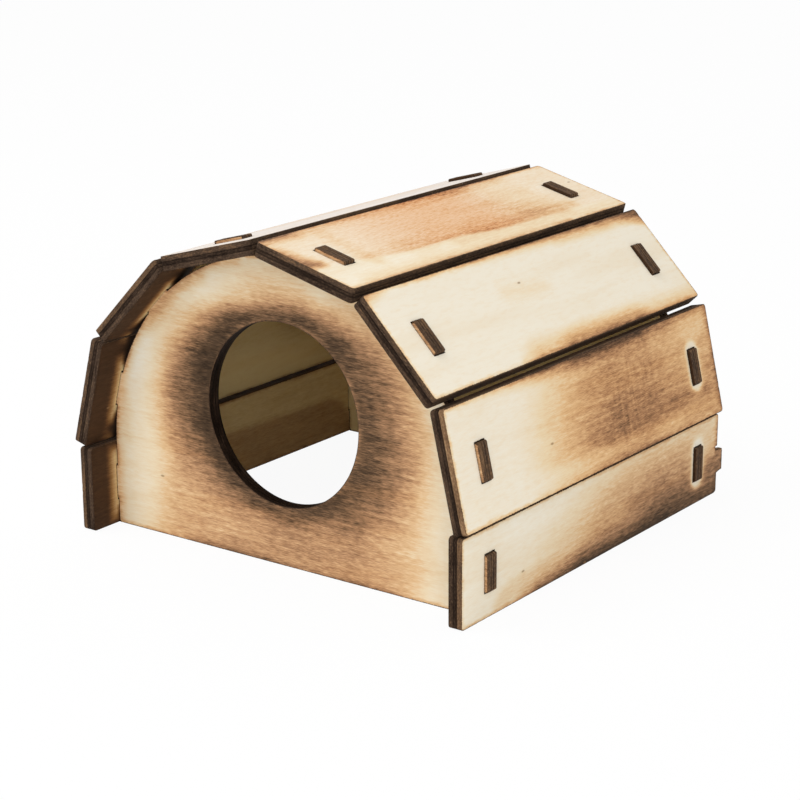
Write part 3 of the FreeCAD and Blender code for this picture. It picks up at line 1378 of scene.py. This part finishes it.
RIGHT_LOWER_BURNS = strokes(
    ((64.7, -5.7), (165.1, -6.4), 19.8, 21.7, 0.46),
    ((78.7, -10.8), (89.4, -12), 10.6, 16.2, 0.52),
    ((71.5, 14.7), (106.9, 16.1), 1.2, 8.8, 0.94),
    ((58, 16.4), (92, 16.2), 2, 1.5, 0.7),
    ((61.3, 7.2), (94.6, 5.9), 2.7, 1.8, 0.12),
    ((104, -6.5), (123.9, -7.7), 1.2, 2.4, 0.37),
    ((100.9, 11.1), (129.2, 17.8), 3.7, 7.6, 0.34),
    ((7.6, 24.5), (63.9, 19.7), 5.8, 4.6, 1),
    ((32.1, -11.3), (105.5, -13), 2.3, 2.7, -0.4),
    ((99.5, 11), (123.8, 11.2), 3, 1.6, -0.27),
    ((83, -4), (94, -4), 1.5, 3, -0.12),
    ((64, 8), (76, 7), 1, 3.5, 0.12),
    ((64, -8.5), (76, -8.5), 1, 3.5, 0.14),
    ((118.5, -3.4), (118.5, 4), 3, 4, -0.6),
    ((118, -4), (118, 4.2), 3.3, 0.9, -0.85),
    ((130.8, -16), (130.8, 16), 1.5, 2.8, 0.62),
)

RIGHT_SKIRT_BURNS = strokes(
    ((63.9, -7.1), (128.1, -10), 7.6, 44.9, 0.46),
    ((23.8, -16.4), (71.2, -16), 11.5, 2, 0.14),
    ((31.6, -21), (57, -18.2), 9.3, 4.6, 1),
    ((67.2, -15), (99.1, -18.5), 6.5, 4.6, 1),
    ((89.3, -14.8), (144.4, -13.2), 9.4, 10.5, 0.81),
    ((81.3, 7.5), (100.9, -1.6), 15.2, 22.1, 0.32),
    ((25, 7.2), (121.6, 18.1), 3.3, 9.5, -0.99),
    ((118.6, -3.4), (118.6, 4), 3, 4, -0.6),
    ((118, -4), (118, 4.2), 3.3, 0.9, -0.85),
    ((125, -2.6), (134, -2.4), 2.4, 2, 0.34),
    ((133.2, -6), (133.2, 1), 0.4, 0.7, 0.75),
    ((130.6, -12), (130.6, -7), 0.8, 2.6, 0.6),
    ((130.8, 2.5), (130.8, 12), 1.4, 2.6, 0.62),
)

ENTRANCE = (0, 41.7)
ARCH_CENTRE = (0, 24)

FRONT_PANEL_BURNS = (
    *strokes(
        ((-3.7, -9.9), (4.5, 40), 42, 7.5, 0.32),
        ((-24.2, -3), (22.5, 6.9), 0.3, 17, 0.48),
    ),
    TorchPass(ring_path(ENTRANCE, 26.9, 0, 360), 0.9, 4.4, 0.79),
    TorchPass(((-20, 41.5), (-20, 42)), 19.7, 12.2, 0.81),
    TorchPass(ring_path(ENTRANCE, 28.4, 52, 158), 4.6, 5.1, 0.61),
    TorchPass(ring_path(ENTRANCE, 30.2, -43, 40), 5, 11.9, 0.82),
    TorchPass(ring_path(ENTRANCE, 35.5, -20, 30), 4.8, 13, 0.36),
    TorchPass(ring_path(ENTRANCE, 20, 230, 296), 6.7, 11.9, 0.99),
    *strokes(
        ((-33.2, -0.3), (30, -0.5), 0.3, 3, 0.6),
        ((-24.1, 71.7), (11.9, 76.8), 4.3, 2.9, -0.44),
        ((-60, 14), (60, 14), 26, 8, 0.08),
    ),
    TorchPass((*ring_path(ARCH_CENTRE, 59.8, 104, 180), (-59.8, 0)), 1, 3, 0.36),
    TorchPass(ring_path(ARCH_CENTRE, 58.2, 118, 142), 1.6, 3, 0.26),
    TorchPass(((59.8, 0), (59.8, 26), (56, 45)), 0.8, 4, 0.3),
    *strokes(
        ((-26, 14.5), (-13, 14.5), 3, 6, 0.22),
        ((14, 75), (42, 64), 4, 5, -0.28),
        ((-6, 73.5), (8, 73), 1.5, 4.5, 0.14),
        ((38, 0), (46, 10), 1.5, 6, 0.12),
        ((42, 36), (46, 44), 1.5, 5, 0.14),
        ((-38, 38), (-37, 44), 2, 5, 0.18),
        ((-56, 26), (-56, 38), 1, 3, 0.12),
        ((-42, 62), (-37, 66), 2, 4, 0.16),
        ((-34, 8), (-12, 8), 1, 4, -0.07),
    ),
)


# The house


def planks() -> tuple[Plank, ...]:
    """All eight planks with their burn marks."""
    spared_slot = strokes(((118, -4.2), (118, 4.2), 3.7, 2.2, -0.9))
    # Near-black heat on the inner faces just behind the front panel, along its joint with the planks
    joint_blackening = strokes(
        ((12.4, -9), (13, -16), 2.4, 1.4, 1),
        ((9, 12.5), (12.5, 12.5), 2.4, 2.4, 0.9),
        ((9.5, -12.5), (12, -12.5), 2, 2.4, 0.9),
    )
    porch = strokes(
        ((0, -16), (0, 16), 8.6, 3.2, 0.9),
        ((9.9, -9), (9.9, 7), 0.4, 1, -0.2),
        ((12.4, 9), (13, 16), 2.6, 1.4, 1),
    ) + joint_blackening
    skirt_porch = strokes(((0, -16), (0, 16), 7.6, 2.4, 0.88)) + joint_blackening
    heartwood_line = (
        (-1, -3.4), (17.7, -4.6), (29, -6.5), (40, -7.1), (59, -7.4), (65, -8.1), (70, -9), (86.5, -9.5),
        (99, -9.9), (111, -10.1), (131, -11),
    )
    return (
        Plank(
            "right_upper_plank", RIGHT_UPPER_BURNS, porch, outer_ground=0.06, end_rub=0.48,
            heartwood=Heartwood(heartwood_line, line_tone=0.2, sets_in=34, dies_out=74),
        ),
        Plank("right_middle_plank", RIGHT_MIDDLE_BURNS, porch, sheet=Sheet.RUDDY, end_rub=0.5),
        Plank(
            "right_lower_plank", RIGHT_LOWER_BURNS, porch, sheet=Sheet.RUDDY, outer_ground=0.02,
            inner_ground=0.2, end_rub=0.76, cutter_marks=strokes(((78, -5), (88, 5), 8, 7, 1)),
        ),
        Plank(
            "right_skirt_plank", RIGHT_SKIRT_BURNS, porch, outer_ground=0.05, inner_ground=0.2, end_rub=0.65,
            stub=Stub(),
        ),
        Plank(
            "left_upper_plank", strokes(((40, -12), (110, -10), 3, 8, 0.12)) + spared_slot, porch,
            sheet=Sheet.GREYED, end_rub=0.5,
        ),
        Plank(
            "left_middle_plank", strokes(
                ((30, 16), (100, 16), 3, 4, 0.4),
                ((66, -2), (112, -4), 7, 9, 0.25),
            ) + spared_slot, porch, inner_ground=0.12, end_rub=0.62,
        ),
        Plank(
            "left_lower_plank", strokes(
                ((60, 2), (150, 0), 14, 14, 0.4),
                ((72, -6), (100, -6), 5, 8, 0.35),
            ) + spared_slot, porch + strokes(
                ((92, 10), (122, -8), 9, 14, 0.36),
                ((25, 9), (90, 8), 10, 7, 0.15),
            ), outer_ground=0.02, inner_ground=0.15, end_rub=0.53,
        ),
        Plank(
            "left_skirt_plank", strokes(
                ((60, -8), (150, -8), 9, 12, 0.35),
                ((50, -14), (130, -13), 5, 4, 0.55),
            ) + spared_slot, skirt_porch + strokes(((30, -11.5), (104, -12.8), 13.6, 1.8, 0.26)),
            outer_ground=0.04, inner_ground=0.33, end_rub=0.56,
        ),
    )


def end_panels(all_planks: tuple[Plank, ...]) -> tuple[EndPanel, EndPanel]:
    """Both end panels with their burn marks.

    Args:
        all_planks: The planks that the panels' tabs pass through.

    Returns:
        The front panel and the back panel.
    """
    back_burns = strokes(
        ((0, 22), (0, 33), 38.0, 12.0, 0.32),
        ((-22, 28), (24, 31), 11.0, 14.0, 0.35),
        ((-38, 0), (40, 0), 2.0, 3.0, 0.4),
    )
    return (
        EndPanel(
            "front_panel", FRONT_PANEL_BURNS, planks=all_planks, has_entrance=True, outer_ground=0.04,
            inner_ground=0.15,
        ),
        EndPanel("back_panel", back_burns, planks=all_planks, outer_ground=0.05, inner_ground=0.15),
    )


def main() -> None:
    """Build the view, the stage, the finishes and every board in order."""
    logging.basicConfig(level=logging.INFO, format="%(name)s: %(message)s")
    bpy.context.scene.view_settings.view_transform = "Standard"
    View().build()
    Studio().build()
    all_planks = planks()
    veneers = {sheet: ScorchedVeneer(sheet.value, tones).material() for sheet, tones in SHEET_TONES.items()}
    edge = CharredEdge().material(Board.ply, Board.glue_line)
    # The inner faces take an olive copy of the veneer, darker in its middle tones: painted shade
    cabin_shade_veneer = ScorchedVeneer("birch_veneer_with_painted_cabin_shade", CABIN_SHADE_TONES, break_up=1.4).material()
    for board in (*all_planks, *end_panels(all_planks)):
        piece = board.build()
        board.dress(piece, veneers, edge, cabin_shade_veneer)
        LOG.info("%s: %d faces", piece.name, len(piece.data.polygons))


if __name__ == "__main__":
    main()
